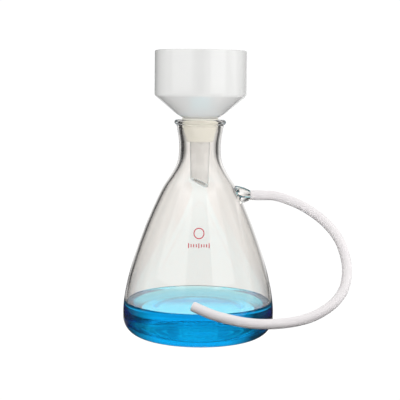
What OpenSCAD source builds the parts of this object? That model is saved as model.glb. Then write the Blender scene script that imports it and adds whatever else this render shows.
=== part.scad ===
// Vacuum filtration set: a thick-walled glass flask with a fused side arm and a
// little blue liquid, a rubber adapter in its neck, a porcelain funnel through the
// adapter, a perforated plate and a paper disc in the funnel, and a rubber hose.
// Millimetres. The origin is the centre of the flask's foot, +Z is up and the side
// arm points along +X.

/* [Flask] */
// Outer diameter at the widest place
flask_d = 222; // [185:1:267]
// Height from the table to the top of the rim
flask_h = 317; // [264:1:381]
// Height of the widest place
belly_h = 32; // [29:1:40]
// Radius of the outer corner between wall and foot
foot_corner_r = 28; // [18:1:29]
// Height of the hollow under the foot
punt_h = 2.5; // [1:0.5:5]
// Width of the ring that the flask stands on
foot_ring_w = 14; // [8:1:20]
// Glass thickness of the conical wall
wall_t = 4.5; // [3:0.5:6]
// Glass thickness of the floor
floor_t = 6; // [4:0.5:9]

/* [Neck] */
// Outer diameter at the neck's narrowest place
neck_d = 60.8; // [58:0.2:66]
// Distance from the rim down to the narrowest place
waist_drop = 43; // [38:1:50]
// Distance from the rim down to where the wall turns into the neck
shoulder_drop = 92; // [86:1:100]
// Outer diameter where the wall turns into the neck
shoulder_d = 99; // [92:1:108]
// Glass thickness of the neck
neck_t = 6.7; // [5:0.1:7.5]
// Inner diameter of the mouth
mouth_d = 53.4; // [44:0.2:64.4]
// Thickness of the round bead on the rim
bead_t = 8; // [6:0.5:10]
// Width of the rim, from the mouth to the bead's outer edge
rim_w = 11; // [9:0.5:13]

/* [Side arm] */
// Distance from the rim down to the arm's axis
arm_drop = 110; // [105:1:120]
// Diameter of the flared root on the wall
arm_root_d = 27; // [20:0.5:30]
// Diameter of the arm where the hose stops
arm_neck_d = 14; // [12:0.5:16]
// How far the arm stands out of the wall before the hose stops
arm_len = 15.3; // [10:0.1:28]
// Length of the nozzle inside the hose
nozzle_len = 22; // [15:1:30]
// Bore of the arm
arm_bore_d = 5; // [4:0.5:6]

/* [Liquid] */
// Height of the liquid's surface
liquid_h = 51; // [20:1:120]

/* [Adapter] */
// Depth of the upper lip band
lip_h = 12; // [8:1:16]
// How far the adapter stands above the rim
lip_proud = 2; // [1:0.5:6]
// Whole height of the adapter
adapter_h = 34; // [28:1:42]
// Outer diameter at the lower end
adapter_tip_d = 39.4; // [38:0.2:42]
// Step between the lip band and the tapered part
lip_step = 1.6; // [0.5:0.1:3]

/* [Funnel] */
// Outer diameter of the bowl
bowl_d = 134; // [110:0.2:162]
// Height of the bowl's straight wall, from shoulder to rim
bowl_h = 65; // [50:1:80]
// Porcelain thickness of the bowl
bowl_t = 4.2; // [3:0.1:6]
// Radius of the bowl's lower outer corner
bowl_corner_r = 7; // [4:0.5:9]
// Half angle of the cone, measured from the axis
cone_a = 50; // [48:1:58]
// Half angle of the cone's blunt lower part, which sits in the adapter
seat_a = 66; // [60:1:72]
// How far the blunt part reaches beyond the adapter's seat
seat_reach = 8.4; // [4:0.2:12]
// Diameter of the stem at its root
stem_root_d = 31; // [28:0.2:32]
// Diameter of the stem at its tip
stem_tip_d = 26; // [22:0.2:27]
// Length of the stem, on its longer side
stem_len = 97.5; // [78:0.5:100]
// Porcelain thickness of the stem
stem_t = 4; // [3:0.5:5]
// Angle of the bevelled tip
tip_bevel_a = 28; // [0:1:35]
// Bearing of the longest point of the tip, from the side arm towards the back
tip_bevel_turn = 40; // [0:5:90]

/* [Filter] */
// Thickness of the perforated plate
plate_t = 4; // [3:0.5:6]
// Diameter of one drain hole
drain_d = 3; // [2.4:0.2:4]
// Distance between neighbouring drain holes
drain_pitch = 9.5; // [9:0.5:14]
// Rings of drain holes around the middle one
drain_rings = 5; // [2:1:5]
// Thickness of the paper disc
paper_t = 0.5; // [0.4:0.1:1]

/* [Hose] */
// Outer diameter of the hose
hose_d = 14; // [12:0.5:16]
// Bore of the hose
hose_bore_d = 9; // [7.5:0.1:11]

/* [Fits] */
// Gap between pieces that lift apart
lift_gap = 0.3; // [0.2:0.05:0.5]
// Radial gap between the nozzle and the hose's bore
nozzle_gap = 0.08; // [0.02:0.01:0.1]

/* [Hidden] */
$fn = 96;
eps = 0.01;
glass_colour = [0.93, 0.95, 0.95, 0.35];
hose_colour = [0.96, 0.93, 0.94];
curve_steps = 12;
arc_steps = 8;

// Flask: heights and radii that follow from the driving sizes
waist_z = flask_h - waist_drop;
shoulder_z = flask_h - shoulder_drop;
shoulder_slope = 0.7;
// Handles of the curves that draw the wall, the neck and the flare under the rim
belly_pull = 0.33;
shoulder_pull = 18;
neck_pull = 25;
waist_pull = 19;
flare_pull = 0.4;
flare_lean = 0.08;
bead_d = mouth_d + 2 * rim_w;
bead_r = bead_t / 2;
bead_z = flask_h - bead_r;
bead_overhang = 3.3;
foot_ring_r = flask_d / 2 - foot_corner_r;
punt_run = 4 * punt_h;
mouth_lead_r = 2.5;
throat_z = bead_z - lip_h;

// Side arm: its flare starts just outside the wall, at the root's upper edge
arm_z = flask_h - arm_drop;
arm_root_clear = 1.5;
arm_root_x = wall_r_at(arm_z + arm_root_d / 2) + arm_root_clear;
arm_neck_x = wall_r_at(arm_z) + arm_len;

// Adapter and funnel: heights that follow from what they sit in
adapter_top_z = flask_h + lip_proud;
adapter_tip_z = adapter_top_z - adapter_h;
lip_r = mouth_d / 2 - lift_gap;
lip_wall_t = 1.8;
seat_r = lip_r - lip_wall_t;
stem_taper = (stem_root_d - stem_tip_d) / 2 / stem_len;
cone_rise = 1 / tan(cone_a);
seat_rise = 1 / tan(seat_a);
// The blunt foot of the funnel's cone rests in the adapter's flared seat
cone_root_z = adapter_top_z - (seat_r - stem_root_d / 2) * seat_rise;
cone_turn_r = seat_r + seat_reach;
cone_turn_z = adapter_top_z + seat_reach * seat_rise;
tip_z = cone_root_z - stem_len;
cone_top_z = cone_turn_z + (bowl_d / 2 - cone_turn_r) * cone_rise;
bowl_top_z = cone_top_z + bowl_h;
rim_round_r = bowl_t / 2;
bowl_in_r = bowl_d / 2 - bowl_t;

// Filter: the plate sits on a ledge at the foot of the bowl's wall
plate_ledge = 3;
ledge_rise = 1;
plate_r = bowl_in_r;
plate_z = cone_top_z + ledge_rise;
plate_top_z = plate_z + plate_t;
fillet_r = 3;
paper_margin = 1;
paper_r = bowl_in_r - fillet_r - paper_margin;

// Hose: it starts where the arm's shoulder ends
cuff_beyond_nozzle = 6;
cuff_len = nozzle_len + cuff_beyond_nozzle;
hose_start = arm_neck_x + cuff_len;
tail_len = 22;
hose_sides = 12;
hose_turn_steps = 2;
// Route of the free part, chosen by hand, from the end of the cuff to the tail
hose_route = [
    [hose_start + 14, -2, arm_z - 1.8],
    [132, -6, 200.5],
    [148, -10.5, 194],
    [164, -15.5, 185],
    [179, -22, 174],
    [192, -29.5, 161],
    [202, -38, 146],
    [208, -48, 129],
    [210.5, -58, 112],
    [208.5, -69, 95],
    [202, -80, 80],
    [190, -91, 67.5],
    [174, -101, 57.5],
    [155, -110, 50],
    [133, -117, 45.5],
    [110, -122.5, 43.5],
    [87, -126.5, 43.5],
    [65, -128, 45.5],
    [45, -127, 49],
    [27, -124.6, 53]
];
// The tail lies in line with the last stretch of the route
tail_start = [12, -121, 57.5];
tail_dir_raw = [-8, 2.5, 2.9];

function bezier(a, b, c, d, t) =
    pow(1 - t, 3) * a + 3 * pow(1 - t, 2) * t * b + 3 * (1 - t) * t * t * c + pow(t, 3) * d;

function curve(a, b, c, d, steps) = [for (i = [0:steps]) bezier(a, b, c, d, i / steps)];

function arc(centre, r, from, to, steps) =
    [for (i = [0:steps]) let (a = from + (to - from) * i / steps) centre + r * [cos(a), sin(a)]];

function unit(v) = v / norm(v);

// Wall from the widest place up to the shoulder, moved inwards by inset
function wall_curve(inset) =
    let (
        slope = unit([-shoulder_slope, 1]),
        low = [flask_d / 2 - inset, belly_h],
        high = [shoulder_d / 2, shoulder_z] - inset * [slope[1], -slope[0]]
    )
    curve(low, low + [0, belly_pull * (shoulder_z - belly_h)], high - shoulder_pull * slope, high,
        curve_steps);

// Outer radius of the wall at a height
function wall_r_at(z) = lookup(z, [for (p = wall_curve(0)) [p[1], p[0]]]);

// Shoulder to the neck's narrowest place, moved inwards by two insets
function neck_curve(low_inset, high_inset) =
    let (
        slope = unit([-shoulder_slope, 1]),
        low = [shoulder_d / 2, shoulder_z] - low_inset * [slope[1], -slope[0]],
        high = [neck_d / 2 - high_inset, waist_z]
    )
    curve(low, low + neck_pull * slope, high - [0, waist_pull], high, curve_steps);

// Neck's narrowest place up to a given radius and height, vertical at the bottom
function flare_curve(low, high) =
    let (rise = high[1] - low[1])
    curve(low, low + [0, flare_pull * rise], high - [flare_lean * rise, rise / 2], high, arc_steps);

function skip_first(list) = [for (i = [1:len(list) - 1]) list[i]];
function reversed(list) = [for (i = [len(list) - 1:-1:0]) list[i]];

inner_corner_r = min(foot_corner_r - wall_t, belly_h - floor_t);
inner_floor_r = flask_d / 2 - wall_t - inner_corner_r;
// The glass is one piece; the model parts it at two heights into base, wall and neck
base_top_z = belly_h + 28;

function outer_outline() = concat(
    [[0, punt_h], [foot_ring_r - foot_ring_w - punt_run, punt_h], [foot_ring_r - foot_ring_w, 0]],
    arc([foot_ring_r, foot_corner_r], foot_corner_r, -90, 0, arc_steps),
    wall_curve(0),
    skip_first(neck_curve(0, 0)),
    skip_first(flare_curve([neck_d / 2, waist_z], [bead_d / 2 - bead_overhang, flask_h - bead_t])),
    arc([bead_d / 2 - bead_r, bead_z], bead_r, -60, 90, arc_steps)
);

function inner_outline() = concat(
    [[0, floor_t]],
    arc([inner_floor_r, floor_t + inner_corner_r], inner_corner_r, -90, 0, arc_steps),
    wall_curve(wall_t),
    skip_first(neck_curve(wall_t, neck_t)),
    skip_first(flare_curve([neck_d / 2 - neck_t, waist_z], [mouth_d / 2, throat_z])),
    arc([mouth_d / 2 + mouth_lead_r, flask_h - mouth_lead_r], mouth_lead_r, 180, 90, arc_steps)
);

// The flask's inner space, filled to a height
module inner_space(top) {
    rotate_extrude() intersection() {
        polygon(concat(inner_outline(), [[0, flask_h]]));
        square([flask_d, top]);
    }
}

module along_arm() {
    translate([0, 0, arm_z]) rotate([0, 90, 0]) children();
}

// The ring of glass between two heights
module glass_slice(low, high) {
    rotate_extrude() intersection() {
        polygon(concat(outer_outline(), reversed(inner_outline())));
        translate([0, low]) square([flask_d, high - low]);
    }
}

module flask_base() {
    color(glass_colour) glass_slice(0, base_top_z);
}

module flask_wall() {
    color(glass_colour) difference() {
        glass_slice(base_top_z, shoulder_z);
        along_arm() cylinder(d = arm_bore_d, h = flask_d);
    }
}

module flask_neck() {
    color(glass_colour) glass_slice(shoulder_z, flask_h);
}

// Outer shape of the arm: a flared root, a straight neck and a nozzle with barbs
module arm_shape() {
    barb_n = 4;
    barb_pitch = nozzle_len / barb_n;
    barb_r = hose_bore_d / 2 - nozzle_gap;
    barb_relief = 0.7;
    barb_step = 1;
    root_len = arm_neck_x - arm_root_x;
    flare = (arm_root_d - arm_neck_d) / 2;
    rotate_extrude() polygon(concat(
        [[0, 0], [arm_root_d / 2, 0]],
        curve([arm_root_d / 2, arm_root_x], [arm_root_d / 2 - 0.5, arm_root_x + 0.4 * root_len],
            [arm_neck_d / 2 + 0.4 * flare, arm_neck_x - 0.3 * root_len],
            [arm_neck_d / 2, arm_neck_x - eps], arc_steps),
        [[arm_neck_d / 2, arm_neck_x]],
        [for (i = [0:barb_n - 1]) each [
            [barb_r - barb_relief * (i == 0 ? 1 : 0), arm_neck_x + i * barb_pitch],
            [barb_r - barb_relief, arm_neck_x + i * barb_pitch + barb_step],
            [barb_r - barb_relief, arm_neck_x + i * barb_pitch + 2 * barb_step],
            [barb_r, arm_neck_x + i * barb_pitch + 3 * barb_step]
        ]],
        [[barb_r - barb_relief, arm_neck_x + nozzle_len], [0, arm_neck_x + nozzle_len]]
    ));
}

module side_arm() {
    color(glass_colour) difference() {
        along_arm() arm_shape();
        rotate_extrude() polygon(concat(outer_outline(), [[0, flask_h]]));
        along_arm() cylinder(d = arm_bore_d, h = flask_d);
    }
}

module liquid() {
    color([0.0, 0.55, 0.9, 0.7]) inner_space(liquid_h);
}

module adapter() {
    stem_at = function (z) stem_root_d / 2 - (cone_root_z - z) * stem_taper + lift_gap;
    lip_low_z = adapter_top_z - lip_h;
    lip_round = 1;
    color([0.93, 0.91, 0.86]) rotate_extrude() polygon(concat(
        [
            [stem_at(adapter_tip_z), adapter_tip_z],
            [adapter_tip_d / 2, adapter_tip_z],
            [lip_r - lip_step, lip_low_z],
            [lip_r, lip_low_z + lip_round]
        ],
        arc([lip_r - lip_round, adapter_top_z - lip_round], lip_round, 0, 90, 4),
        [
            [seat_r + lift_gap, adapter_top_z],
            [stem_at(cone_root_z), cone_root_z]
        ]
    ));
}

// Outside of the funnel, from the axis at the stem's tip up to the rim
module funnel_outside() {
    corner_a = 90 - cone_a;
    corner_c = [
        bowl_d / 2 - bowl_corner_r,
        cone_top_z + bowl_corner_r * tan(45 - corner_a / 2)
    ];
    tip_r = stem_tip_d / 2;
    polygon(concat(
        [[0, tip_z], [tip_r, tip_z], [stem_root_d / 2, cone_root_z], [cone_turn_r, cone_turn_z]],
        arc(corner_c, bowl_corner_r, -90 + corner_a, 0, arc_steps),
        arc([bowl_d / 2 - rim_round_r, bowl_top_z - rim_round_r], rim_round_r, 0, 90, 5),
        [[0, bowl_top_z]]
    ));
}

// The space inside the funnel: stem bore, drain chamber, seat of the plate and bowl
module funnel_inside() {
    wall_drop = stem_t / sin(cone_a);
    chamber_r = bowl_in_r - plate_ledge;
    bore_root_r = stem_root_d / 2 - stem_t;
    chamber_z = cone_turn_z + wall_drop + (chamber_r - cone_turn_r) * cone_rise;
    polygon(concat(
        [
            [0, tip_z - 1],
            [stem_tip_d / 2 - stem_t, tip_z - 1],
            [bore_root_r, cone_root_z + wall_drop / 2],
            [cone_turn_r, cone_turn_z + wall_drop],
            [chamber_r, chamber_z],
            [chamber_r, plate_z],
            [plate_r, plate_z],
            [plate_r, plate_top_z],
            [bowl_in_r - fillet_r, plate_top_z]
        ],
        arc([bowl_in_r - fillet_r, plate_top_z + fillet_r], fillet_r, -90, 0, arc_steps),
        arc([bowl_in_r + rim_round_r, bowl_top_z - rim_round_r], rim_round_r, 180, 90, 5),
        [[bowl_in_r + rim_round_r, bowl_top_z + 1], [0, bowl_top_z + 1]]
    ));
}

module funnel_body() {
    color([0.92, 0.92, 0.9]) difference() {
        rotate_extrude() difference() {
            funnel_outside();
            funnel_inside();
        }
        // The bevel leaves the tip longest on one side, and opens towards the other
        rotate([0, 0, tip_bevel_turn]) translate([stem_tip_d / 2, 0, tip_z])
            rotate([0, -180 + tip_bevel_a, 0])
            translate([0, -stem_root_d, 0]) cube([2 * stem_root_d, 2 * stem_root_d, stem_root_d]);
    }
}

module perforated_plate() {
    color([0.9, 0.9, 0.88]) translate([0, 0, plate_z]) difference() {
        cylinder(r = plate_r, h = plate_t);
        translate([0, 0, -1]) cylinder(d = drain_d, h = plate_t + 2);
        for (ring = [1:drain_rings], i = [0:6 * ring - 1]) {
            rotate([0, 0, 60 * i / ring]) translate([ring * drain_pitch, 0, -1])
                cylinder(d = drain_d, h = plate_t + 2);
        }
    }
}

module filter_paper() {
    color([0.97, 0.97, 0.95]) translate([0, 0, plate_top_z + lift_gap])
        cylinder(r = paper_r, h = paper_t);
}

module hose_cuff() {
    color(hose_colour) translate([arm_neck_x + lift_gap, 0, arm_z]) rotate([0, 90, 0]) difference() {
        cylinder(d = hose_d, h = cuff_len - lift_gap);
        translate([0, 0, -1]) cylinder(d = hose_bore_d, h = cuff_len + 2);
    }
}

// The free run: rings square to the route, joined into one closed tube
function route_at(i) =
    let (
        pts = concat([[hose_start, 0, arm_z]], hose_route, [tail_start]),
        last = len(pts) - 1,
        k = min(floor(i / hose_turn_steps), last - 1),
        t = i / hose_turn_steps - k,
        a = pts[k],
        b = pts[k + 1],
        ta = k == 0 ? [norm(b - a), 0, 0] : (b - pts[k - 1]) / 2,
        tb = k == last - 1 ? unit(tail_dir_raw) * norm(b - a) : (pts[k + 2] - a) / 2
    )
    bezier(a, a + ta / 3, b - tb / 3, b, t);

route_n = (len(hose_route) + 1) * hose_turn_steps;
hose_path = [for (i = [0:route_n]) route_at(i)];

function heading(i) =
    i == 0 ? [1, 0, 0]
    : i == route_n ? unit(tail_dir_raw)
    : unit(hose_path[i + 1] - hose_path[i - 1]);

function ring(i, r) =
    let (
        ahead = heading(i),
        side = unit(cross(ahead, [0, 0, 1])),
        up = cross(side, ahead)
    )
    [for (j = [0:hose_sides - 1]) let (a = 360 * j / hose_sides)
        hose_path[i] + r * (cos(a) * side + sin(a) * up)];

module hose_run() {
    rings = route_n + 1;
    outer = [for (i = [0:rings - 1]) each ring(i, hose_d / 2)];
    inner = [for (i = [0:rings - 1]) each ring(i, hose_bore_d / 2)];
    bore = rings * hose_sides;
    next = function (j) (j + 1) % hose_sides;
    skin = function (base, flip) [
        for (i = [0:rings - 2], j = [0:hose_sides - 1])
            let (
                a = base + i * hose_sides + j,
                b = base + i * hose_sides + next(j),
                c = b + hose_sides,
                d = a + hose_sides
            )
            flip ? [d, c, b, a] : [a, b, c, d]
    ];
    end = function (i, flip) [
        for (j = [0:hose_sides - 1])
            let (
                a = i * hose_sides + j,
                b = i * hose_sides + next(j)
            )
            flip ? [a, a + bore, b + bore, b] : [b, b + bore, a + bore, a]
    ];
    color(hose_colour) polyhedron(
        points = concat(outer, inner),
        faces = concat(skin(0, false), skin(bore, true), end(0, true), end(rings - 1, false)),
        convexity = 10
    );
}

module hose_tail() {
    dir = unit(tail_dir_raw);
    tilt = acos(dir[2]);
    turn = atan2(dir[1], dir[0]);
    color(hose_colour) translate(tail_start) rotate([0, tilt, turn]) difference() {
        cylinder(d = hose_d, h = tail_len);
        translate([0, 0, -1]) cylinder(d = hose_bore_d, h = tail_len + 2);
    }
}

flask_base();
flask_wall();
flask_neck();
side_arm();
liquid();
adapter();
funnel_body();
perforated_plate();
filter_paper();
hose_cuff();
hose_run();
hose_tail();
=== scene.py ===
"""The look of the vacuum filtration set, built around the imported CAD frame. Metres, +Z up."""

import math

import bmesh
import bpy
from mathutils import Matrix, Vector


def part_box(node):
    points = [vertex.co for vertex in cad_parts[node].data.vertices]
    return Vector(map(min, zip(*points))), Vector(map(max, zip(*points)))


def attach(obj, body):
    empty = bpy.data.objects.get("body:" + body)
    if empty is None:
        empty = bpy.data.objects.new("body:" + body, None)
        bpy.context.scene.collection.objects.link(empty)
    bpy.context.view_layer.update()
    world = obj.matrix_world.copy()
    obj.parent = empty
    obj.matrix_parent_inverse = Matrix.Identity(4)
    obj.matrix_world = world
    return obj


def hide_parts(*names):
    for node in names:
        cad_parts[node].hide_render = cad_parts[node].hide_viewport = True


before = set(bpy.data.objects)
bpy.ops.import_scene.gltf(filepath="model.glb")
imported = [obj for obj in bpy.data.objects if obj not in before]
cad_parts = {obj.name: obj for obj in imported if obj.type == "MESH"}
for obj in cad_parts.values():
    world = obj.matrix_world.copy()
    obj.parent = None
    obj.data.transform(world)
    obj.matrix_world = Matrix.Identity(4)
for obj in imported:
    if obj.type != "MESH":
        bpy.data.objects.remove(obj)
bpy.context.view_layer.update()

MM = 0.001

# ---------------------------------------------------------------- sizes from the frame

FLASK_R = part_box("flask_base")[1].x
FLASK_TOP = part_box("flask_neck")[1].z
ARM_TIP_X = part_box("side_arm")[1].x
LIQUID_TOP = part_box("liquid")[1].z
ADAPTER_LOW, ADAPTER_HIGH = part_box("adapter")
FUNNEL_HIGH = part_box("funnel_body")[1]
PLATE_LOW, PLATE_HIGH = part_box("perforated_plate")
PAPER_LOW, PAPER_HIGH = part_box("filter_paper")
CUFF_LOW, CUFF_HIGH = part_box("hose_cuff")

ARM_Z = (CUFF_LOW.z + CUFF_HIGH.z) / 2
ARM_NECK_X = CUFF_LOW.x - 0.3 * MM
HOSE_R = (CUFF_HIGH.z - CUFF_LOW.z) / 2
HOSE_BORE_R = 4.5 * MM

# ---------------------------------------------------------------- the photograph's view

CAMERA_AT = (-0.8 * MM, -1.490, 0.3567)
CAMERA_ROLL = 0.65
CAMERA_PITCH_DOWN = 6.04
CAMERA_LENS_MM = 91.9
CAMERA_SENSOR_MM = 36
CAMERA_SEES_TO = 50

# ---------------------------------------------------------------- curves


def bezier(a, b, c, d, steps):
    """Points of a cubic curve in the plane, both ends included."""
    points = []
    for i in range(steps + 1):
        t = i / steps
        s = 1 - t
        points.append(tuple(
            s**3 * a[k] + 3 * s * s * t * b[k] + 3 * s * t * t * c[k] + t**3 * d[k]
            for k in range(2)
        ))
    return points


def arc(centre, radius, start, end, steps):
    """Points of a circular arc in the plane, angles in degrees, both ends included."""
    points = []
    for i in range(steps + 1):
        a = math.radians(start + (end - start) * i / steps)
        points.append((centre[0] + radius * math.cos(a), centre[1] + radius * math.sin(a)))
    return points


def smooth_path(knots, first_heading, last_heading, steps):
    """A smooth curve in space through the knots, with the headings given at its ends."""
    points = []
    last = len(knots) - 2
    for k in range(last + 1):
        a, b = knots[k], knots[k + 1]
        span = (b - a).length
        leave = first_heading * span if k == 0 else (b - knots[k - 1]) / 2
        arrive = last_heading * span if k == last else (knots[k + 2] - a) / 2
        p, q = a + leave / 3, b - arrive / 3
        for i in range(steps):
            t = i / steps
            s = 1 - t
            points.append(s**3 * a + 3 * s * s * t * p + 3 * s * t * t * q + t**3 * b)
    points.append(knots[-1].copy())
    return points


# ---------------------------------------------------------------- mesh making


def new_piece(name, bm):
    """Turns a bmesh into an object, with its faces turned outwards and shaded smooth."""
    bmesh.ops.recalc_face_normals(bm, faces=bm.faces)
    mesh = bpy.data.meshes.new(name)
    bm.to_mesh(mesh)
    bm.free()
    piece = bpy.data.objects.new(name, mesh)
    bpy.context.scene.collection.objects.link(piece)
    smooth(piece)
    return piece


# Points of an outline nearer the axis than this are on it
ON_AXIS = 1e-7


def smooth(piece, crease_deg=34):
    """Smooth shading, with a hard edge wherever two faces meet at more than the angle."""
    mesh = piece.data
    mesh.polygons.foreach_set("use_smooth", [True] * len(mesh.polygons))
    mesh.set_sharp_from_angle(angle=math.radians(crease_deg))
    mesh.update()


def lathe(name, outline, sides=192, spin=None):
    """Turns an outline of (radius, height) points about Z. It is open where it meets the axis,
    and joined to its start where it doesn't."""
    bm = bmesh.new()
    rings = []
    for radius, height in outline:
        if radius < ON_AXIS:
            rings.append([bm.verts.new((0, 0, height))])
            continue
        ring = []
        for i in range(sides):
            a = math.tau * i / sides
            ring.append(bm.verts.new((radius * math.cos(a), radius * math.sin(a), height)))
        rings.append(ring)
    closed = len(rings[0]) > 1 and len(rings[-1]) > 1
    pairs = list(zip(rings, rings[1:]))
    if closed:
        pairs.append((rings[-1], rings[0]))
    for low, high in pairs:
        for i in range(sides):
            j = (i + 1) % sides
            if len(low) == 1 and len(high) == 1:
                continue
            if len(low) == 1:
                bm.faces.new((low[0], high[i], high[j]))
            elif len(high) == 1:
                bm.faces.new((low[i], low[j], high[0]))
            else:
                bm.faces.new((low[i], low[j], high[j], high[i]))
    if spin is not None:
        bmesh.ops.transform(bm, matrix=spin, verts=bm.verts)
    return new_piece(name, bm)


def combine(base, other, operation):
    """Joins, cuts or crosses base with other, keeps the result on base and deletes other."""
    boolean = base.modifiers.new("combine", "BOOLEAN")
    boolean.operation = operation
    boolean.solver = "EXACT"
    boolean.object = other
    depsgraph = bpy.context.evaluated_depsgraph_get()
    mesh = bpy.data.meshes.new_from_object(base.evaluated_get(depsgraph))
    base.modifiers.clear()
    base.data = mesh
    bpy.data.objects.remove(other)
    smooth(base)
    return base


def tube(name, path, section):
    """Sweeps a hollow section along a path without twisting it. The section is a function of
    the number of a point of the path, and gives an outer and an inner ring of (sideways,
    upwards) points. The tube's ends are closed between the two rings."""
    bm = bmesh.new()
    rings = []
    side = None
    count = len(path)
    for i, centre in enumerate(path):
        ahead = (path[min(i + 1, count - 1)] - path[max(i - 1, 0)]).normalized()
        if side is None:
            side = ahead.cross(Vector((0, 0, 1))).normalized()
        side = (side - ahead * side.dot(ahead)).normalized()
        up = side.cross(ahead)
        outer, inner = section(i)
        rings.append((
            [bm.verts.new(centre + side * x + up * y) for x, y in outer],
            [bm.verts.new(centre + side * x + up * y) for x, y in inner],
        ))
    sides = len(rings[0][0])
    for (outer_a, inner_a), (outer_b, inner_b) in zip(rings, rings[1:]):
        for i in range(sides):
            j = (i + 1) % sides
            bm.faces.new((outer_a[i], outer_a[j], outer_b[j], outer_b[i]))
            bm.faces.new((inner_a[j], inner_a[i], inner_b[i], inner_b[j]))
    for outer, inner in (rings[0], rings[-1]):
        for i in range(sides):
            j = (i + 1) % sides
            bm.faces.new((outer[i], inner[i], inner[j], outer[j]))
    return new_piece(name, bm)


# ---------------------------------------------------------------- materials


def principled(name, **values):
    """A new material with sockets of its Principled shader set. Gives the material, its node
    tree and the shader."""
    material = bpy.data.materials.new(name)
    material.use_nodes = True
    tree = material.node_tree
    shader = tree.nodes["Principled BSDF"]
    for socket, value in values.items():
        shader.inputs[socket.replace("_", " ")].default_value = value
    return material, tree, shader


def noise(tree, scale, detail=4.0, roughness=0.5):
    """A noise texture in object coordinates, so that it doesn't depend on UVs."""
    place = tree.nodes.new("ShaderNodeTexCoord")
    texture = tree.nodes.new("ShaderNodeTexNoise")
    texture.inputs["Scale"].default_value = scale
    texture.inputs["Detail"].default_value = detail
    texture.inputs["Roughness"].default_value = roughness
    tree.links.new(place.outputs["Object"], texture.inputs["Vector"])
    return texture.outputs["Fac"]


def bump(tree, shader, height, strength, distance):
    """Roughens the shader's surface by a height."""
    node = tree.nodes.new("ShaderNodeBump")
    node.inputs["Strength"].default_value = strength
    node.inputs["Distance"].default_value = distance
    tree.links.new(height, node.inputs["Height"])
    tree.links.new(node.outputs["Normal"], shader.inputs["Normal"])


def blend_colours(tree, factor, low, high, socket):
    """Drives a colour socket between two colours."""
    ramp = tree.nodes.new("ShaderNodeValToRGB")
    ramp.color_ramp.elements[0].position = 0.35
    ramp.color_ramp.elements[1].position = 0.65
    ramp.color_ramp.elements[0].color = (*low, 1)
    ramp.color_ramp.elements[1].color = (*high, 1)
    tree.links.new(factor, ramp.inputs["Fac"])
    tree.links.new(ramp.outputs["Color"], socket)


def feed(tree, value, socket):
    """Links a socket to another one, or sets it to a number."""
    if isinstance(value, (int, float)):
        socket.default_value = value
    else:
        tree.links.new(value, socket)


def compute(tree, operation, *values):
    """A Math node's answer for sockets or numbers."""
    node = tree.nodes.new("ShaderNodeMath")
    node.operation = operation
    for value, socket in zip(values, node.inputs):
        feed(tree, value, socket)
    return node.outputs["Value"]


def product(tree, one, other):
    """One value times another."""
    return compute(tree, "MULTIPLY", one, other)


def map_range(tree, value, low, high, low_value=0, high_value=1):
    """low_value where the value is low, high_value where it is high, and even between."""
    node = tree.nodes.new("ShaderNodeMapRange")
    node.inputs["From Min"].default_value = low
    node.inputs["From Max"].default_value = high
    node.inputs["To Min"].default_value = low_value
    node.inputs["To Max"].default_value = high_value
    tree.links.new(value, node.inputs["Value"])
    return node.outputs["Result"]


def spread(tree, factor, low, high, socket):
    """Drives a number socket between two values."""
    tree.links.new(map_range(tree, factor, 0, 1, low, high), socket)


def clear_glass():
    """Blown borosilicate glass: colourless, with the faint waviness of hot-worked walls."""
    material, tree, shader = principled(
        "clear_glass", Transmission_Weight=1.0, IOR=1.473, Roughness=0.0)
    blend_colours(tree, noise(tree, 9), (0.985, 0.962, 0.935), (0.990, 0.968, 0.943),
        shader.inputs["Base Color"])
    bump(tree, shader, noise(tree, 26, detail=1.0), 0.25, 0.35 * MM)
    return material


def blue_liquid():
    """Clear blue water: a smooth surface, and colour that deepens with the depth seen through."""
    material, tree, shader = principled(
        "blue_liquid", Transmission_Weight=1.0, IOR=1.333, Roughness=0.0)
    shader.inputs["Base Color"].default_value = (1, 1, 1, 1)
    bump(tree, shader, noise(tree, 18, detail=1.0), 0.15, 0.2 * MM)
    dye = tree.nodes.new("ShaderNodeVolumeAbsorption")
    dye.inputs["Color"].default_value = (0.0, 0.902, 0.9955, 1)
    dye.inputs["Density"].default_value = 48.0
    output = tree.nodes["Material Output"]
    tree.links.new(dye.outputs["Volume"], output.inputs["Volume"])
    return material


def glazed_porcelain():
    """White porcelain under a glossy glaze that pools a little and isn't quite even."""
    material, tree, shader = principled(
        "glazed_porcelain", IOR=1.5, Coat_Weight=1.0, Coat_Roughness=0.03)
    blend_colours(tree, noise(tree, 14), (0.88, 0.882, 0.872), (0.905, 0.905, 0.893),
        shader.inputs["Base Color"])
    spread(tree, noise(tree, 120), 0.08, 0.2, shader.inputs["Roughness"])
    bump(tree, shader, noise(tree, 55, detail=2.0), 0.18, 0.3 * MM)
    return material


def cream_rubber():
    """Moulded rubber: satin, slightly dusty, with a fine grain."""
    material, tree, shader = principled("cream_rubber", IOR=1.45)
    blend_colours(tree, noise(tree, 60), (0.95, 0.943, 0.86), (0.97, 0.963, 0.89),
        shader.inputs["Base Color"])
    spread(tree, noise(tree, 300), 0.34, 0.52, shader.inputs["Roughness"])
    bump(tree, shader, noise(tree, 900, detail=3.0), 0.25, 0.08 * MM)
    return material


def white_rubber():
    """Extruded hose rubber: soft white with a hint of pink, satin, very faintly uneven."""
    material, tree, shader = principled("white_rubber", IOR=1.45)
    blend_colours(tree, noise(tree, 40), (0.965, 0.92, 0.935), (0.98, 0.945, 0.95),
        shader.inputs["Base Color"])
    spread(tree, noise(tree, 90), 0.4, 0.5, shader.inputs["Roughness"])
    bump(tree, shader, noise(tree, 220, detail=1.0), 0.05, 0.05 * MM)
    return material


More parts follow.
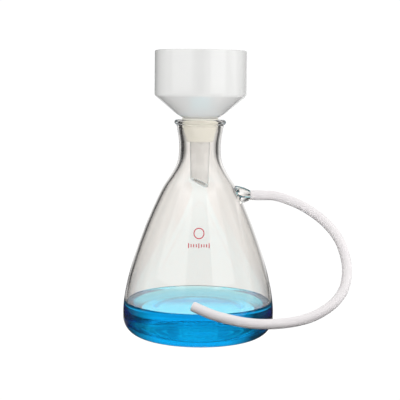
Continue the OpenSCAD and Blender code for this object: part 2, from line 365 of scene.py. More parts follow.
def fibrous_paper():
    """Filter paper: matt, faintly mottled, with short fibres."""
    material, tree, shader = principled("filter_paper", Roughness=0.95, IOR=1.4)
    blend_colours(tree, noise(tree, 220), (0.86, 0.86, 0.83), (0.93, 0.93, 0.91),
        shader.inputs["Base Color"])
    bump(tree, shader, noise(tree, 1500, detail=6.0, roughness=0.7), 0.5, 0.12 * MM)
    return material


def red_print():
    """Fired enamel print on the glass: glossy red, a little uneven in its cover."""
    material, tree, shader = principled("red_print", Roughness=0.3, IOR=1.5)
    blend_colours(tree, noise(tree, 700), (0.66, 0.02, 0.05), (0.76, 0.045, 0.085),
        shader.inputs["Base Color"])
    bump(tree, shader, noise(tree, 1800), 0.3, 0.04 * MM)
    return material


def dress(piece, material, body):
    """Gives a piece its material and its body."""
    piece.data.materials.clear()
    piece.data.materials.append(material)
    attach(piece, body)
    return piece


# ---------------------------------------------------------------- camera


def make_camera():
    """The camera, where the photograph was taken from as far as its picture tells."""
    data = bpy.data.cameras.new("camera")
    data.lens = CAMERA_LENS_MM
    data.sensor_width = CAMERA_SENSOR_MM
    data.clip_end = CAMERA_SEES_TO
    camera = bpy.data.objects.new("camera", data)
    camera.location = CAMERA_AT
    camera.rotation_euler = (math.radians(90 - CAMERA_PITCH_DOWN), math.radians(-CAMERA_ROLL), 0)
    bpy.context.scene.collection.objects.link(camera)
    bpy.context.scene.camera = camera


# ---------------------------------------------------------------- hose

# The hose's route beyond the side arm, the same points as in the CAD source
HOSE_ROUTE = [
    (0.11633, -0.002, 0.2052),
    (0.132, -0.006, 0.2005),
    (0.148, -0.0105, 0.194),
    (0.164, -0.0155, 0.185),
    (0.179, -0.022, 0.174),
    (0.192, -0.0295, 0.161),
    (0.202, -0.038, 0.146),
    (0.208, -0.048, 0.129),
    (0.2105, -0.058, 0.112),
    (0.2085, -0.069, 0.095),
    (0.202, -0.080, 0.080),
    (0.190, -0.091, 0.0675),
    (0.174, -0.101, 0.0575),
    (0.155, -0.110, 0.050),
    (0.133, -0.117, 0.0455),
    (0.110, -0.1225, 0.0435),
    (0.087, -0.1265, 0.0435),
    (0.065, -0.128, 0.0455),
    (0.045, -0.127, 0.049),
    (0.027, -0.1246, 0.053),
    (0.012, -0.121, 0.0575),
]
HOSE_TAIL_HEADING = Vector((-8, 2.5, 2.9)).normalized()
HOSE_TAIL_LENGTH = 22 * MM
HOSE_LOOP_STEPS = 8
HOSE_CUFF_STEPS = 24
HOSE_TAIL_STEPS = 8


def hose_path():
    """Centreline of the whole hose: straight over the nozzle, the free loop, straight tail."""
    start = Vector((CUFF_LOW.x, 0, ARM_Z))
    cuff_end = Vector((CUFF_HIGH.x, 0, ARM_Z))
    knots = [cuff_end] + [Vector(point) for point in HOSE_ROUTE]
    loop = smooth_path(knots, Vector((1, 0, 0)), HOSE_TAIL_HEADING, HOSE_LOOP_STEPS)
    cuff = [start.lerp(cuff_end, i / HOSE_CUFF_STEPS) for i in range(HOSE_CUFF_STEPS)]
    tail_start = knots[-1]
    tail = [
        tail_start + HOSE_TAIL_HEADING * HOSE_TAIL_LENGTH * (i + 1) / HOSE_TAIL_STEPS
        for i in range(HOSE_TAIL_STEPS)
    ]
    return cuff + loop + tail


def make_hose(material):
    """The whole hose as one piece, from its start on the nozzle to its free end."""
    path = hose_path()
    sides = 40
    nozzle_length = ARM_TIP_X - ARM_NECK_X
    swell = 0.35 * MM
    edge_round = 0.5 * MM
    last = len(path) - 1

    def circle(radius):
        """A ring of points round the centreline."""
        return [
            (radius * math.cos(math.tau * i / sides), radius * math.sin(math.tau * i / sides))
            for i in range(sides)
        ]

    def section(i):
        """The hose stretches a little over the nozzle's barbs; its cut edges are eased."""
        along = path[i].x - path[0].x
        outer_r = HOSE_R
        if i < last / 2 and along < nozzle_length:
            outer_r += swell * math.sin(math.pi * along / nozzle_length) ** 0.5
        if i in (0, last):
            outer_r -= edge_round
        inner_r = HOSE_BORE_R + (edge_round / 2 if i in (0, last) else 0)
        return circle(outer_r), circle(inner_r)

    hose = tube("hose", path, section)
    dress(hose, material, "hose")
    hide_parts("hose_cuff", "hose_run", "hose_tail")
    return hose


# ---------------------------------------------------------------- glass

WALL_T = 4.5 * MM
FLOOR_T = 6 * MM
NECK_T = 6.7 * MM
FOOT_CORNER_R = 28 * MM
FOOT_RING_W = 14 * MM
PUNT_H = 2.5 * MM
BELLY_H = 32 * MM
NECK_R = 30.4 * MM
WAIST_DROP = 43 * MM
SHOULDER_DROP = 92 * MM
SHOULDER_R = 49.5 * MM
SHOULDER_SLOPE = Vector((-0.7, 1)).normalized()
MOUTH_R = 26.7 * MM
BEAD_T = 8 * MM
BEAD_OUT_R = 37.7 * MM
BEAD_OVERHANG = 3.3 * MM
MOUTH_EDGE_R = 2.5 * MM
THROAT_DROP = 16 * MM
# How far each curve of the outline keeps its direction, in metres or as a share of its height
BELLY_PULL = 0.33
SHOULDER_PULL = 18 * MM
NECK_PULL = 25 * MM
WAIST_PULL = 19 * MM
FLARE_PULL = 0.4
FLARE_LEAN = Vector((0.08, 0.5))

SHOULDER_Z = FLASK_TOP - SHOULDER_DROP
WAIST_Z = FLASK_TOP - WAIST_DROP
FOOT_RING_R = FLASK_R - FOOT_CORNER_R


def wall_curve(inset):
    """The conical wall, from the widest place up to the shoulder, moved inwards by inset."""
    low = Vector((FLASK_R - inset, BELLY_H))
    inwards = Vector((SHOULDER_SLOPE.y, -SHOULDER_SLOPE.x))
    high = Vector((SHOULDER_R, SHOULDER_Z)) - inset * inwards
    rise = Vector((0, BELLY_PULL * (SHOULDER_Z - BELLY_H)))
    return bezier(low, low + rise, high - SHOULDER_PULL * SHOULDER_SLOPE, high, 48)


def neck_curve(low_inset, high_inset):
    """From the shoulder to the neck's narrowest place, moved inwards by the two insets."""
    inwards = Vector((SHOULDER_SLOPE.y, -SHOULDER_SLOPE.x))
    low = Vector((SHOULDER_R, SHOULDER_Z)) - low_inset * inwards
    high = Vector((NECK_R - high_inset, WAIST_Z))
    return bezier(low, low + NECK_PULL * SHOULDER_SLOPE, high - Vector((0, WAIST_PULL)), high, 24)


def flare_curve(low_r, high_r, high_z):
    """From the neck's narrowest place up to a radius and height below the rim."""
    rise = high_z - WAIST_Z
    low = Vector((low_r, WAIST_Z))
    high = Vector((high_r, high_z))
    return bezier(low, low + Vector((0, FLARE_PULL * rise)), high - FLARE_LEAN * rise, high, 14)


def outside_outline():
    """The flask's outside as a solid, from the hollow under the foot to the top of the rim."""
    bead_r = BEAD_T / 2
    ring_in = FOOT_RING_R - FOOT_RING_W
    return (
        [(0, PUNT_H)]
        + bezier((ring_in - 5 * PUNT_H, PUNT_H), (ring_in - 3 * PUNT_H, PUNT_H),
            (ring_in - 2 * PUNT_H, 0), (ring_in, 0), 8)
        + arc((FOOT_RING_R, FOOT_CORNER_R), FOOT_CORNER_R, -90, 0, 24)
        + wall_curve(0)
        + neck_curve(0, 0)[1:]
        + flare_curve(NECK_R, BEAD_OUT_R - BEAD_OVERHANG, FLASK_TOP - BEAD_T)[1:]
        + arc((BEAD_OUT_R - bead_r, FLASK_TOP - bead_r), bead_r, -60, 90, 18)
        + [(0, FLASK_TOP)]
    )


def inside_outline(top):
    """The space inside the flask, up to a height above the rim."""
    corner_r = FOOT_CORNER_R - WALL_T
    throat_z = FLASK_TOP - THROAT_DROP
    edge = arc((MOUTH_R + MOUTH_EDGE_R, FLASK_TOP - MOUTH_EDGE_R), MOUTH_EDGE_R, 180, 90, 10)
    return (
        [(0, FLOOR_T)]
        + arc((FOOT_RING_R, FLOOR_T + corner_r), corner_r, -90, 0, 20)
        + wall_curve(WALL_T)
        + neck_curve(WALL_T, NECK_T)[1:]
        + flare_curve(NECK_R - NECK_T, MOUTH_R, throat_z)[1:]
        + edge
        + [(edge[-1][0], top), (0, top)]
    )


def outside_radius(height):
    """The flask's outer radius at a height on its wall."""
    for (r0, z0), (r1, z1) in zip(outside_outline()[1:], outside_outline()[2:]):
        if z0 <= height <= z1 and z1 > z0:
            return r0 + (r1 - r0) * (height - z0) / (z1 - z0)
    raise ValueError(f"no wall at {height}")


def along_arm():
    """Turns +Z to +X, at the side arm's height."""
    return Matrix.Translation((0, 0, ARM_Z)) @ Matrix.Rotation(math.pi / 2, 4, "Y")


def arm_outline():
    """The side arm about its own axis, as (radius, distance from the flask's axis): a root
    that flares towards the wall, a slim neck, and a barbed nozzle."""
    start_x = 40 * MM
    root_x = 54 * MM
    root_r = 13.5 * MM
    neck_r = 7 * MM
    root_handle = (root_r - 0.3 * MM, root_x + 7 * MM)
    neck_handle = (neck_r + 3.2 * MM, ARM_NECK_X - 6 * MM)
    neck_edge = (neck_r - 0.6 * MM, ARM_NECK_X + 0.2 * MM)
    barbs = 4
    barb_r = HOSE_BORE_R - 0.08 * MM
    groove_r = barb_r - 0.7 * MM
    groove_from = 0.4 * MM
    groove_to = 1.8 * MM
    barb_at = 3 * MM
    barb_pitch = (ARM_TIP_X - ARM_NECK_X) / barbs
    outline = [(0, start_x), (root_r, start_x)]
    outline += bezier((root_r, root_x), root_handle, neck_handle, (neck_r, ARM_NECK_X), 20)
    outline += [neck_edge]
    for i in range(barbs):
        x = ARM_NECK_X + i * barb_pitch
        outline += [(groove_r, x + groove_from), (groove_r, x + groove_to), (barb_r, x + barb_at)]
    outline += [(groove_r, ARM_TIP_X), (0, ARM_TIP_X)]
    return outline


def make_flask(material):
    """The flask and its fused arm as one piece of glass."""
    flask = lathe("glass_flask", outside_outline(), sides=256)
    arm = lathe("arm", arm_outline(), sides=96, spin=along_arm())
    combine(flask, arm, "UNION")
    above_rim = 5 * MM
    inside = lathe("inside", inside_outline(FLASK_TOP + above_rim), sides=256)
    combine(flask, inside, "DIFFERENCE")
    bore_r = 2.5 * MM
    bore_x = 30 * MM
    bore_outline = [(0, bore_x), (bore_r, bore_x), (bore_r, FLASK_R), (0, FLASK_R)]
    bore = lathe("bore", bore_outline, sides=48, spin=along_arm())
    combine(flask, bore, "DIFFERENCE")
    dress(flask, material, "flask")
    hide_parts("flask_base", "flask_wall", "flask_neck", "side_arm")
    return flask


def make_liquid(material):
    """The liquid wets the glass, so it reaches a hair into the wall, and climbs it a little."""
    wetting = 0.15 * MM
    climb = 0.6 * MM
    reach = 2 * MM
    edge = 0.1 * MM
    steps = 8
    outline = []
    for radius, height in inside_outline(FLASK_TOP):
        if height >= LIQUID_TOP + climb:
            break
        wet_r = radius + wetting if radius else 0
        wet_z = height - wetting if height < BELLY_H else height
        outline.append((wet_r, wet_z))
    edge_r = outline[-1][0] - edge
    outline.append((edge_r, LIQUID_TOP + climb))
    for i in range(1, steps + 1):
        share = i / steps
        outline.append((edge_r - reach * share, LIQUID_TOP + climb * (1 - share) ** 3))
    outline.append((0, LIQUID_TOP))
    liquid = lathe("blue_liquid", outline, sides=256)
    dress(liquid, material, "flask")
    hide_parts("liquid")
    return liquid


# ---------------------------------------------------------------- printed marking

MARK_SPOT_Z = 160.5 * MM
MARK_SCALE_Z = 144 * MM
PRINT_LIFT = 0.02 * MM
PRINT_T = 0.12 * MM


def printed_bar(bm, across, up, width, height):
    """One bar of print, wrapped on the front of the wall. across is measured round the wall."""
    columns = max(2, int(width / MM) + 1)
    rows = max(2, int(height / MM) + 1)
    layers = []
    for lift in (PRINT_LIFT, PRINT_LIFT + PRINT_T):
        layer = []
        for row in range(rows + 1):
            z = up + height * (row / rows - 0.5)
            radius = outside_radius(z) + lift
            line = []
            for column in range(columns + 1):
                s = across + width * (column / columns - 0.5)
                a = s / radius
                line.append(bm.verts.new((radius * math.sin(a), -radius * math.cos(a), z)))
            layer.append(line)
        layers.append(layer)
    for layer in layers:
        for row in range(rows):
            for column in range(columns):
                bm.faces.new((layer[row][column], layer[row][column + 1],
                    layer[row + 1][column + 1], layer[row + 1][column]))
    rim = (
        [(0, c) for c in range(columns)]
        + [(r, columns) for r in range(rows)]
        + [(rows, c) for c in range(columns, 0, -1)]
        + [(r, 0) for r in range(rows, 0, -1)]
    )
    for (r0, c0), (r1, c1) in zip(rim, rim[1:] + rim[:1]):
        bm.faces.new((layers[0][r0][c0], layers[0][r1][c1], layers[1][r1][c1], layers[1][r0][c0]))


def printed_ring(bm, up, ring_r, line):
    """A ring of print on the front of the wall: a thin closed band with four flat sides."""
    steps = 48
    section = []
    for i in range(steps):
        turn = math.tau * i / steps
        corners = []
        inner_r = ring_r - line
        for r, lift in ((ring_r, 0), (inner_r, 0), (inner_r, PRINT_T), (ring_r, PRINT_T)):
            z = up + r * math.sin(turn)
            radius = outside_radius(z) + PRINT_LIFT + lift
            a = r * math.cos(turn) / radius
            corners.append(bm.verts.new((radius * math.sin(a), -radius * math.cos(a), z)))
        section.append(corners)
    for i in range(steps):
        here, there = section[i], section[(i + 1) % steps]
        for k in range(4):
            n = (k + 1) % 4
            bm.faces.new((here[k], here[n], there[n], there[k]))


def make_marking(material):
    """A plain ring above a plain row of tick marks, in the place of a printed badge."""
    line = 1.3 * MM
    ring_r = 7.6 * MM
    bm = bmesh.new()
    printed_ring(bm, MARK_SPOT_Z, ring_r, line)
    ticks = 9
    pitch = 3.6 * MM
    long_tick = 6.4 * MM
    short_tick = 4.2 * MM
    for i in range(ticks):
        tick_h = long_tick if i % 4 == 0 else short_tick
        printed_bar(bm, (i - (ticks - 1) / 2) * pitch, MARK_SCALE_Z, line, tick_h)
    marking = new_piece("printed_marking", bm)
    dress(marking, material, "flask")
    return marking


# ---------------------------------------------------------------- adapter and funnel

STEM_ROOT_R = 15.5 * MM
STEM_TIP_R = 13 * MM
STEM_LEN = 97.5 * MM
TIP_BEVEL_DEG = 28
TIP_BEVEL_TURN_DEG = 40
STEM_T = 4 * MM
LIFT_GAP = 0.3 * MM
CONE_DEG = 50
CONE_RISE = 1 / math.tan(math.radians(CONE_DEG))
SEAT_DEG = 66
SEAT_RISE = 1 / math.tan(math.radians(SEAT_DEG))
SEAT_REACH = 8.4 * MM
LIP_WALL_T = 1.8 * MM
SEAT_R = ADAPTER_HIGH.x - LIP_WALL_T
CONE_ROOT_Z = ADAPTER_HIGH.z - (SEAT_R - STEM_ROOT_R) * SEAT_RISE
CONE_TURN_R = SEAT_R + SEAT_REACH
CONE_TURN_Z = ADAPTER_HIGH.z + SEAT_REACH * SEAT_RISE
TIP_Z = CONE_ROOT_Z - STEM_LEN


def make_adapter(material):
    """Tapered rubber adapter: a thick lip with two rounded bands, a hollow tapered skirt."""
    lip_r = ADAPTER_HIGH.x
    top = ADAPTER_HIGH.z
    low = ADAPTER_LOW.z
    tip_r = 19.7 * MM
    lip_h = 12 * MM
    lip_step = 1.6 * MM
    groove_z = top - 6.5 * MM
    groove_half = 0.9 * MM
    groove_r = 0.8 * MM
    groove_centre_r = lip_r + 0.35 * MM
    skirt_low = (tip_r + 0.1 * MM, low + 2 * MM)
    skirt_low_handle = (tip_r + 1.6 * MM, low + 9 * MM)
    skirt_high = (lip_r - lip_step, top - lip_h)
    skirt_high_handle = (skirt_high[0] - 0.5 * MM, skirt_high[1] - 6 * MM)
    seat_drop = 0.45 * MM
    mouth_ease = 0.3 * MM
    tip_ease = 0.4 * MM
    tip_round = 0.8 * MM
    lip_round = 1.2 * MM
    top_round = 1.0 * MM

    def stem_at(z):
        """The funnel stem's radius at a height, with the gap that lets it lift out."""
        return STEM_ROOT_R - (CONE_ROOT_Z - z) * (STEM_ROOT_R - STEM_TIP_R) / STEM_LEN + LIFT_GAP

    outline = [(stem_at(low) + tip_ease, low)]
    outline += arc((tip_r - tip_round, low + tip_round), tip_round, -90, 0, 6)
    outline += bezier(skirt_low, skirt_low_handle, skirt_high_handle, skirt_high, 12)
    outline += arc((lip_r - lip_round, top - lip_h + lip_round), lip_round, -60, 0, 6)
    outline += [(lip_r, groove_z - groove_half)]
    outline += arc((groove_centre_r, groove_z), groove_r, 244, 116, 6)
    outline += [(lip_r, groove_z + groove_half)]
    outline += arc((lip_r - top_round, top - top_round), top_round, 0, 90, 8)
    outline += [
        (SEAT_R + LIFT_GAP + mouth_ease, top),
        (SEAT_R + LIFT_GAP, top - seat_drop),
        (stem_at(CONE_ROOT_Z), CONE_ROOT_Z),
        (stem_at(low), low + tip_ease),
    ]
    adapter = lathe("rubber_adapter", outline, sides=160)
    dress(adapter, material, "adapter")
    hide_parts("adapter")
    return adapter


def make_funnel(material):
    """Porcelain funnel: rounded rim, straight bowl, cone, tapering stem with a bevelled tip."""
    bowl_r = FUNNEL_HIGH.x
    top = FUNNEL_HIGH.z
    wall = 4.2 * MM
    bowl_in = bowl_r - wall
    corner_r = 7 * MM
    fillet = 3 * MM
    cone_top_z = CONE_TURN_Z + (bowl_r - CONE_TURN_R) * CONE_RISE
    corner_a = 90 - CONE_DEG
    corner_z = cone_top_z + corner_r * math.tan(math.radians(45 - corner_a / 2))
    rim_r = wall / 2
    chamber_r = bowl_in - 3 * MM
    # The fillet's foot reaches this far into the plate, so that no gap shows between them
    fillet_sink = 0.02 * MM
    wall_drop = STEM_T / math.sin(math.radians(CONE_DEG))
    chamber_z = CONE_TURN_Z + wall_drop + (chamber_r - CONE_TURN_R) * CONE_RISE
    # Where the stem turns into the cone: steps outwards and upwards from its sharp corner
    root_ease = [(-0.3 * MM, -2 * MM), (0, -0.7 * MM), (0.8 * MM, 0.4 * MM)]

    def before_turn(distance):
        """A point of the seated part of the cone, a distance inwards from its turn."""
        return CONE_TURN_R - distance, CONE_TURN_Z - distance * SEAT_RISE

    def beyond_turn(distance):
        """A point of the open part of the cone, a distance outwards from its turn."""
        return CONE_TURN_R + distance, CONE_TURN_Z + distance * CONE_RISE

    outline = [(STEM_TIP_R - STEM_T, TIP_Z), (STEM_TIP_R, TIP_Z)]
    outline += [(STEM_ROOT_R + out, CONE_ROOT_Z + up) for out, up in root_ease]
    outline += bezier(before_turn(4 * MM), before_turn(1.3 * MM),
        beyond_turn(1.2 * MM), beyond_turn(3.6 * MM), 8)
    outline += arc((bowl_r - corner_r, corner_z), corner_r, corner_a - 90, 0, 16)
    outline += arc((bowl_r - rim_r, top - rim_r), rim_r, 0, 180, 20)
    outline += arc((bowl_in - fillet, PLATE_HIGH.z + fillet), fillet, 0, -90, 12)
    outline += [
        (bowl_in - fillet, PLATE_HIGH.z - fillet_sink),
        (bowl_in, PLATE_HIGH.z - fillet_sink),
        (bowl_in, PLATE_LOW.z),
        (chamber_r, PLATE_LOW.z),
        (chamber_r, chamber_z),
        (CONE_TURN_R, CONE_TURN_Z + wall_drop),
        (STEM_ROOT_R - STEM_T, CONE_ROOT_Z + wall_drop / 2),
    ]
    funnel = lathe("porcelain_funnel", outline, sides=224)
    cutter_r = 60 * MM
    cutter_h = 40 * MM
    cutter = lathe("cutter", [(0, 0), (cutter_r, 0), (cutter_r, cutter_h), (0, cutter_h)], sides=32)
    tilt = Matrix.Rotation(math.radians(180 + TIP_BEVEL_DEG), 4, "Y")
    turn = Matrix.Rotation(math.radians(TIP_BEVEL_TURN_DEG), 4, "Z")
    cutter.data.transform(turn @ Matrix.Translation((STEM_TIP_R, 0, TIP_Z)) @ tilt)
    combine(funnel, cutter, "DIFFERENCE")
    dress(funnel, material, "funnel")
    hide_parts("funnel_body")
    return funnel


def make_paper(material):
    """The paper disc, cockled by a fraction of a millimetre and slightly soft at its edge."""
    radius = PAPER_HIGH.x
    thickness = PAPER_HIGH.z - PAPER_LOW.z
    steps = 30
    cockle = 0.12 * MM
    half = thickness * 0.4
    middle = (PAPER_LOW.z + PAPER_HIGH.z) / 2
    outline = [(0, middle - half)]
    outline += [(radius * i / steps, middle - half) for i in range(1, steps + 1)]
    outline += [(radius, middle)]
    outline += [(radius * i / steps, middle + half) for i in range(steps, 0, -1)]
    outline += [(0, middle + half)]
    paper = lathe("paper_disc", outline, sides=120)
    for vertex in paper.data.vertices:
        a = math.atan2(vertex.co.y, vertex.co.x)
        share = vertex.co.xy.length / radius
        wave = math.sin(3 * a) * 0.5 + math.sin(7 * a + 1) * 0.3
        vertex.co.z += cockle * (1 + wave) * share**4
    dress(paper, material, "paper")
    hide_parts("filter_paper")
    return paper


# ---------------------------------------------------------------- studio


# How bright the camera sees the table and all that is beyond it
CAMERA_WHITE = 1.05

# The table top. Where a pair says from and to, a change starts at the first place and is
# complete at the second. NEAR is the table close behind the foot, FAR its back part, and GAP
# the dark stretch between them, which gives the liquid's surface its dark band
TABLE_R = 0.9
TABLE_TOP = -0.3 * MM
TABLE_LOW = -0.02
FLOOR_WHITE_FROM_Y = (0.0, 0.12)
FLOOR_WHITE_FROM_X = [(-0.17, -0.12), (0.17, 0.12)]
FLOOR_NEAR_TO = (0.155, 0.135)
FLOOR_NEAR_FROM_Y = (0.0, 0.04)
FLOOR_FAR_FROM_Y = (0.26, 0.34)
FLOOR_FAR_FROM_X = [(-0.34, -0.24), (0.34, 0.24)]
FLOOR_FRONT_FROM_Y = (0.0, -0.04)
FLOOR_NEAR_GLARE = 0.8
FLOOR_FRONT_GLARE = 0.03
FLOOR_GAP_GLARE = 0.16
FLOOR_BACK_GLARE = 0.95
FLOOR_UNDER_GLARE = 1.3
# Painted shade: for matt surfaces the table glows dim near the set, in place of the set's shadow on
# it, and bright further out
FLOOR_PAINTED_SHADE_BOUNCE = 0.05
FLOOR_OPEN_BOUNCE = 3.2
FLOOR_PAINTED_SHADE_FROM_TO = (0.36, 0.56)
# A ray that has crossed both walls and the liquid has passed at least this many surfaces
WET_DEPTH = 5

# Brightness of the light tent by bearing, in degrees from straight behind the set and
# positive towards the side arm: a white backdrop, dark flags beside it, a narrow bright
# strip at each side, and a dim front
TENT_BANDS = [
    (-159, 0.1), (-105, 0.1), (-84, 0.4), (-80, 0.03), (-40, 0.03), (-26, 0.08),
    (-17, 0.6), (-11, 0.95), (14, 0.96), (24, 0.6), (36, 0.2), (50, 0.04),
    (80, 0.04), (84, 0.6), (105, 0.1), (158, 0.1),
]
TENT_TOP = max(brightness for _, brightness in TENT_BANDS)
# These from-and-to pairs are parts of a ray's direction: Z is 1 straight up, Y straight back
ROOF_LIGHT = 1.35
ROOF_FROM_Z = (0.55, 0.75)
FRONT_LOW = 0.03
FRONT_LIGHT_FROM_Z = (-0.03, 0.05)
BACK_LIGHT_FROM_Y = (-0.15, 0.1)
BACKDROP_TOP_Z = (0.85, 0.75)
BACKDROP_BRIGHTER_FROM_Z = (0.05, 0.16)
BACKDROP_BRIGHTER = 1.4
AROUND_FROM_Y = (0.3, 0.15)
AROUND_LIGHT = 0.9
FILL_LEFT = 0.47
FILL_RIGHT = 0.93
FILL_ROOF = 0.45
FILL_ROOF_FROM_Z = (0.2, 1)
FILL_THROUGH_GLASS = 1.98

# Softboxes in front of the set: bearing from straight behind, width, brightness
SOFTBOXES = [(-133, 0.98, 0.72), (138, 0.68, 0.88)]
SOFTBOX_AWAY = 1.0
SOFTBOX_FROM_Z = 0.335
SOFTBOX_H = 0.9


def light_path(tree, kind):
    """A factor of 1 for rays of a kind, such as those that light a matt surface, else 0."""
    rays = tree.nodes.new("ShaderNodeLightPath")
    return compute(tree, "MINIMUM", rays.outputs[kind], 1)


def straight(tree):
    """1 for rays that have not been reflected on their way, else 0."""
    return map_range(tree, light_path(tree, "Glossy Depth"), 1, 0)


def glow(tree, strength):
    """A shader that gives white light of a strength."""
    node = tree.nodes.new("ShaderNodeEmission")
    node.inputs["Strength"].default_value = strength
    return node.outputs["Emission"]


def choose(tree, factor, no, yes):
    """One shader where the factor is 0, another where it is 1."""
    node = tree.nodes.new("ShaderNodeMixShader")
    tree.links.new(factor, node.inputs["Fac"])
    tree.links.new(no, node.inputs[1])
    tree.links.new(yes, node.inputs[2])
    return node.outputs["Shader"]


def mix_greys(tree, factor, no, yes):
    """One grey where the factor is 0, another where it is 1. Each is a socket or a number."""
    node = tree.nodes.new("ShaderNodeMixRGB")
    tree.links.new(factor, node.inputs["Fac"])
    for grey, socket in ((no, node.inputs["Color1"]), (yes, node.inputs["Color2"])):
        if isinstance(grey, float):
            socket.default_value = (grey, grey, grey, 1)
        else:
            tree.links.new(grey, socket)
    return node.outputs["Color"]


def coordinates(tree, kind):
    """The X, Y and Z of a kind of texture coordinate, and the whole vector."""
    place = tree.nodes.new("ShaderNodeTexCoord").outputs[kind]
    split = tree.nodes.new("ShaderNodeSeparateXYZ")
    tree.links.new(place, split.inputs["Vector"])
    return split.outputs["X"], split.outputs["Y"], split.outputs["Z"], place


def floor_area(tree, x, y, from_y, from_x):
    """1 on the table beyond a line across it and between two lines along it, else 0."""
    area = map_range(tree, y, *from_y)
    for edge in from_x:
        area = product(tree, area, map_range(tree, x, *edge))
    return area


def floor_through_glass(tree, x, y, reach):
    """The table as rays that have just left glass see it, by their distance from the set's
    axis: bright under the foot and close behind it, then dark, then bright at the back."""
    back_half = map_range(tree, y, *FLOOR_NEAR_FROM_Y)
    near = product(tree, map_range(tree, reach, *FLOOR_NEAR_TO), back_half)
    far = floor_area(tree, x, y, FLOOR_FAR_FROM_Y, FLOOR_FAR_FROM_X)
    gap = choose(tree, back_half, glow(tree, FLOOR_FRONT_GLARE), glow(tree, FLOOR_GAP_GLARE))
    through = choose(tree, far, gap, glow(tree, FLOOR_BACK_GLARE))
    through = choose(tree, near, through, glow(tree, FLOOR_NEAR_GLARE))
    under = compute(tree, "LESS_THAN", reach, FOOT_RING_R)
    through = choose(tree, under, through, glow(tree, FLOOR_UNDER_GLARE))
    # Beyond the near part, unreflected rays see a white table if they have crossed too few
    # surfaces to have been through the liquid, or if they meet the table in front of the set
    depth = tree.nodes.new("ShaderNodeLightPath").outputs["Transmission Depth"]
    dry = map_range(tree, depth, WET_DEPTH, WET_DEPTH - 1)
    front = map_range(tree, y, *FLOOR_FRONT_FROM_Y)
    clear = product(tree, compute(tree, "MAXIMUM", dry, front), straight(tree))
    clear = product(tree, clear, map_range(tree, reach, *FLOOR_NEAR_TO[::-1]))
    return choose(tree, clear, through, glow(tree, FLOOR_BACK_GLARE))


def make_floor():
    """A round white table top. The camera sees it plain white. Matt surfaces get its light from
    beyond a painted shade, a dim disc round the set in place of the set's shadow. Glaze mirrors
    it bright only behind the set, and what it gives glass is set by floor_through_glass."""
    outline = [(0, TABLE_LOW), (TABLE_R, TABLE_LOW), (TABLE_R, TABLE_TOP), (0, TABLE_TOP)]
    floor = lathe("floor", outline, sides=96)
    material = bpy.data.materials.new("floor")
    material.use_nodes = True
    tree = material.node_tree
    x, y, _, place = coordinates(tree, "Object")
    distance = tree.nodes.new("ShaderNodeVectorMath")
    distance.operation = "LENGTH"
    tree.links.new(place, distance.inputs[0])
    reach = distance.outputs["Value"]
    behind = floor_area(tree, x, y, FLOOR_WHITE_FROM_Y, FLOOR_WHITE_FROM_X)
    mirrored = choose(tree, behind, glow(tree, FLOOR_FRONT_GLARE), glow(tree, FLOOR_BACK_GLARE))
    through = floor_through_glass(tree, x, y, reach)
    seen = choose(tree, light_path(tree, "Is Transmission Ray"), mirrored, through)
    # Painted shade for matt surfaces: the table glows dim round the set, standing in for the set's
    # shadow, and bright beyond
    beyond_painted_shade = map_range(tree, reach, *FLOOR_PAINTED_SHADE_FROM_TO)
    bounce = choose(tree, beyond_painted_shade, glow(tree, FLOOR_PAINTED_SHADE_BOUNCE), glow(tree, FLOOR_OPEN_BOUNCE))
    surface = choose(tree, light_path(tree, "Diffuse Depth"), seen, bounce)
    surface = choose(tree, light_path(tree, "Is Camera Ray"), surface, glow(tree, CAMERA_WHITE))
    tree.links.new(surface, tree.nodes["Material Output"].inputs["Surface"])
    floor.data.materials.append(material)


def tent_bands(tree, x, y):
    """The tent's brightness by bearing, as a share of its brightest band."""
    turn = map_range(tree, compute(tree, "ARCTAN2", x, y), -math.pi, math.pi)
    ramp = tree.nodes.new("ShaderNodeValToRGB")
    stops = ramp.color_ramp.elements
    while len(stops) < len(TENT_BANDS):
        stops.new(0.5)
    for stop, (degrees, brightness) in zip(stops, TENT_BANDS):
        stop.position = (degrees + 180) / 360
        share = brightness / TENT_TOP
        stop.color = (share, share, share, 1)
    tree.links.new(turn, ramp.inputs["Fac"])
    return ramp.outputs["Color"]


def tent_colour(tree, x, y, z):
    """The tent as glass and glaze see it, as a share of its brightest band."""
    # In front the bands start at the horizon; behind the set they go on below it
    lit_by_height = map_range(tree, z, *FRONT_LIGHT_FROM_Z)
    lit_by_side = map_range(tree, y, *BACK_LIGHT_FROM_Y)
    lit = compute(tree, "MAXIMUM", lit_by_height, lit_by_side)
    walls = mix_greys(tree, lit, FRONT_LOW / TENT_TOP, tent_bands(tree, x, y))
    tent = mix_greys(tree, map_range(tree, z, *ROOF_FROM_Z), walls, ROOF_LIGHT / TENT_TOP)
    # Glass shows the tent only up to a height, dark above it, and brighter over the horizon
    height = map_range(tree, z, *BACKDROP_TOP_Z)
    over_horizon = map_range(tree, z, *BACKDROP_BRIGHTER_FROM_Z, 1, BACKDROP_BRIGHTER)
    in_glass = product(tree, tent, product(tree, height, over_horizon))
    seen = mix_greys(tree, light_path(tree, "Is Transmission Ray"), tent, in_glass)
    # Unreflected rays that leave the glass any other way than backwards see a bright tent
    around = product(tree, map_range(tree, y, *AROUND_FROM_Y), straight(tree))
    around = product(tree, around, light_path(tree, "Is Transmission Ray"))
    return mix_greys(tree, around, seen, AROUND_LIGHT / TENT_TOP)


def fill_strength(tree, x, z):
    """The light on matt surfaces: more from the arm's side and from above, and more on paths
    that have crossed glass."""
    across = map_range(tree, x, -1, 1, FILL_LEFT, FILL_RIGHT)
    above = map_range(tree, z, *FILL_ROOF_FROM_Z, 0, FILL_ROOF)
    crossed = light_path(tree, "Transmission Depth")
    through = compute(tree, "MULTIPLY_ADD", crossed, FILL_THROUGH_GLASS - 1, 1)
    return product(tree, compute(tree, "ADD", across, above), through)


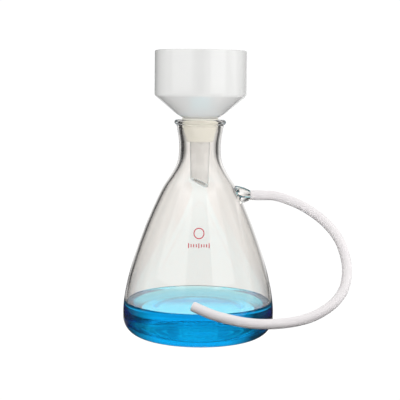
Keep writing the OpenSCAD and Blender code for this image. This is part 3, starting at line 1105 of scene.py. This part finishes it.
def make_studio():
    """The light tent. Glass and glaze see its bands, matt surfaces get an even fill instead,
    and the camera itself sees plain white beyond the table."""
    world = bpy.data.worlds.new("studio")
    bpy.context.scene.world = world
    world.use_nodes = True
    tree = world.node_tree
    x, y, z, _ = coordinates(tree, "Generated")
    tent = tree.nodes["Background"]
    tent.inputs["Strength"].default_value = TENT_TOP
    tree.links.new(tent_colour(tree, x, y, z), tent.inputs["Color"])
    fill = tree.nodes.new("ShaderNodeBackground")
    tree.links.new(fill_strength(tree, x, z), fill.inputs["Strength"])
    white = tree.nodes.new("ShaderNodeBackground")
    white.inputs["Color"].default_value = (1, 1, 1, 1)
    white.inputs["Strength"].default_value = CAMERA_WHITE
    matt = light_path(tree, "Diffuse Depth")
    lit = choose(tree, matt, tent.outputs["Background"], fill.outputs["Background"])
    seen = choose(tree, light_path(tree, "Is Camera Ray"), lit, white.outputs["Background"])
    tree.links.new(seen, tree.nodes["World Output"].inputs["Surface"])


def make_softboxes():
    """Upright panels to the left and right in front, which show as bands on glass and glaze."""
    for bearing, width, brightness in SOFTBOXES:
        light = bpy.data.lights.new("softbox", "AREA")
        light.shape = "RECTANGLE"
        light.size = width
        light.size_y = SOFTBOX_H
        light.energy = brightness * math.pi * width * SOFTBOX_H
        panel = bpy.data.objects.new("softbox", light)
        a = math.radians(bearing)
        height = SOFTBOX_FROM_Z + SOFTBOX_H / 2
        panel.location = (SOFTBOX_AWAY * math.sin(a), SOFTBOX_AWAY * math.cos(a), height)
        panel.rotation_euler = (math.pi / 2, 0, math.pi - a)
        panel.visible_camera = False
        bpy.context.scene.collection.objects.link(panel)


# Light that is reflected over and over inside the liquid needs this many bounces
GLASS_BOUNCES = 48
CLEAR_BOUNCES = 24


def tune_render():
    """Enough bounces for nested glass and liquid, and plain colours."""
    scene = bpy.context.scene
    scene.view_settings.view_transform = "Standard"
    scene.cycles.max_bounces = GLASS_BOUNCES
    scene.cycles.transmission_bounces = GLASS_BOUNCES
    scene.cycles.glossy_bounces = GLASS_BOUNCES
    scene.cycles.transparent_max_bounces = CLEAR_BOUNCES
    scene.cycles.use_denoising = True


# ---------------------------------------------------------------- the set

make_camera()
make_hose(white_rubber())
glass = clear_glass()
porcelain = glazed_porcelain()
make_flask(glass)
make_liquid(blue_liquid())
make_marking(red_print())
make_adapter(cream_rubber())
make_funnel(porcelain)
make_paper(fibrous_paper())
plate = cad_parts["perforated_plate"]
plate.data.materials.clear()
plate.data.materials.append(porcelain)
make_floor()
make_studio()
make_softboxes()
tune_render()
